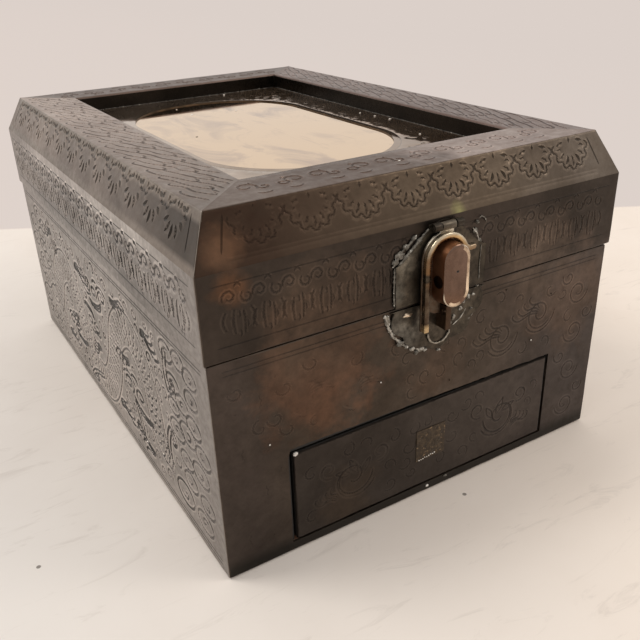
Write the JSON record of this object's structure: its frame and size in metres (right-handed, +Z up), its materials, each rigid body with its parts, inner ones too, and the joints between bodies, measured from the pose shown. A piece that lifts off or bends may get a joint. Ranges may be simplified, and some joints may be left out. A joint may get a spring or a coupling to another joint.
{
  "type": "vanity box with mirror",
  "caption": "Small wooden vanity box clad in engraved brass, with a hinged lid that holds a sunken mirror, a lower drawer and a front hasp.",
  "frame": {"origin": "middle of the underside, on the table", "axes": "+X to the right as seen from the drawer front, +Y from the drawer front to the hinged back, +Z up"},
  "size_m": [0.1536, 0.2313, 0.113],
  "materials": {
    "outer_wood": "waxed dark hardwood",
    "inner_wood": "bare hardwood",
    "felt": "matt",
    "case_brass": "aged dark, worn satin",
    "lid_brass": "aged dark, worn satin",
    "mat_brass": "polished over an engraved pattern",
    "liner_brass": "dark, glossy",
    "mirror": "dusty glass",
    "hinge_brass": "aged satin",
    "nail_brass": "aged satin",
    "latch_brass": "aged satin with bright edges",
    "bright_brass": "worn bright",
    "copper": "aged, coppery",
    "solder": "rough"
  },
  "bodies": {
    "case": {"base_board": "outer_wood", "side_board_left": "outer_wood", "side_board_right": "outer_wood", "back_board": "outer_wood", "front_rail": "outer_wood", "front_stiles": "outer_wood", "divider_board": "inner_wood", "drawer_guides": "inner_wood", "drawer_stops": "inner_wood", "compartment_felt": "felt", "case_skin_front": "case_brass", "case_skin_back": "case_brass", "case_skin_left": "case_brass", "case_skin_right": "case_brass", "hinge_leaf_case_left": "hinge_brass", "hinge_leaf_case_right": "hinge_brass", "hinge_pin_left": "hinge_brass", "hinge_pin_right": "hinge_brass", "hinge_nails_case": "nail_brass", "latch_case_plate": "latch_brass", "latch_staple": "bright_brass", "latch_wire_loop": "bright_brass"},
    "lid": {"lid_board_front": "outer_wood", "lid_board_back": "outer_wood", "lid_board_left": "outer_wood", "lid_board_right": "outer_wood", "lid_rail_front": "outer_wood", "lid_rail_back": "outer_wood", "lid_rail_left": "outer_wood", "lid_rail_right": "outer_wood", "lid_panel": "inner_wood", "mirror_backing": "inner_wood", "mirror_glass": "mirror", "mirror_mat": "mat_brass", "recess_liner": "liner_brass", "lid_skin_front": "lid_brass", "lid_skin_back": "lid_brass", "lid_skin_left": "lid_brass", "lid_skin_right": "lid_brass", "hinge_leaf_lid_left": "hinge_brass", "hinge_leaf_lid_right": "hinge_brass", "hinge_nails_lid": "nail_brass", "latch_lid_plate": "latch_brass", "latch_pin": "bright_brass"},
    "drawer": {"drawer_front": "outer_wood", "drawer_side_left": "inner_wood", "drawer_side_right": "inner_wood", "drawer_back": "inner_wood", "drawer_bottom": "inner_wood", "drawer_skin": "case_brass", "drawer_felt": "felt", "solder_patch": "solder"},
    "hasp": {"hasp_plate": "copper", "hasp_strap": "bright_brass", "hasp_tongue": "copper"}
  },
  "joints": [
    {"name": "lid_hinge", "type": "hinge", "parent": "case", "child": "lid", "pos_m": [0, 0.1118, 0.0737], "axis": [-1, 0, 0], "range_deg": [0, 105]},
    {"name": "drawer_slide", "type": "slide", "parent": "case", "child": "drawer", "axis": [0, -1, 0], "range_m": [0, 0.15]},
    {"name": "hasp_swing", "type": "hinge", "parent": "lid", "child": "hasp", "pos_m": [0.0005, -0.1117, 0.0972], "axis": [-1, 0, 0], "range_deg": [0, 135]}
  ]
}
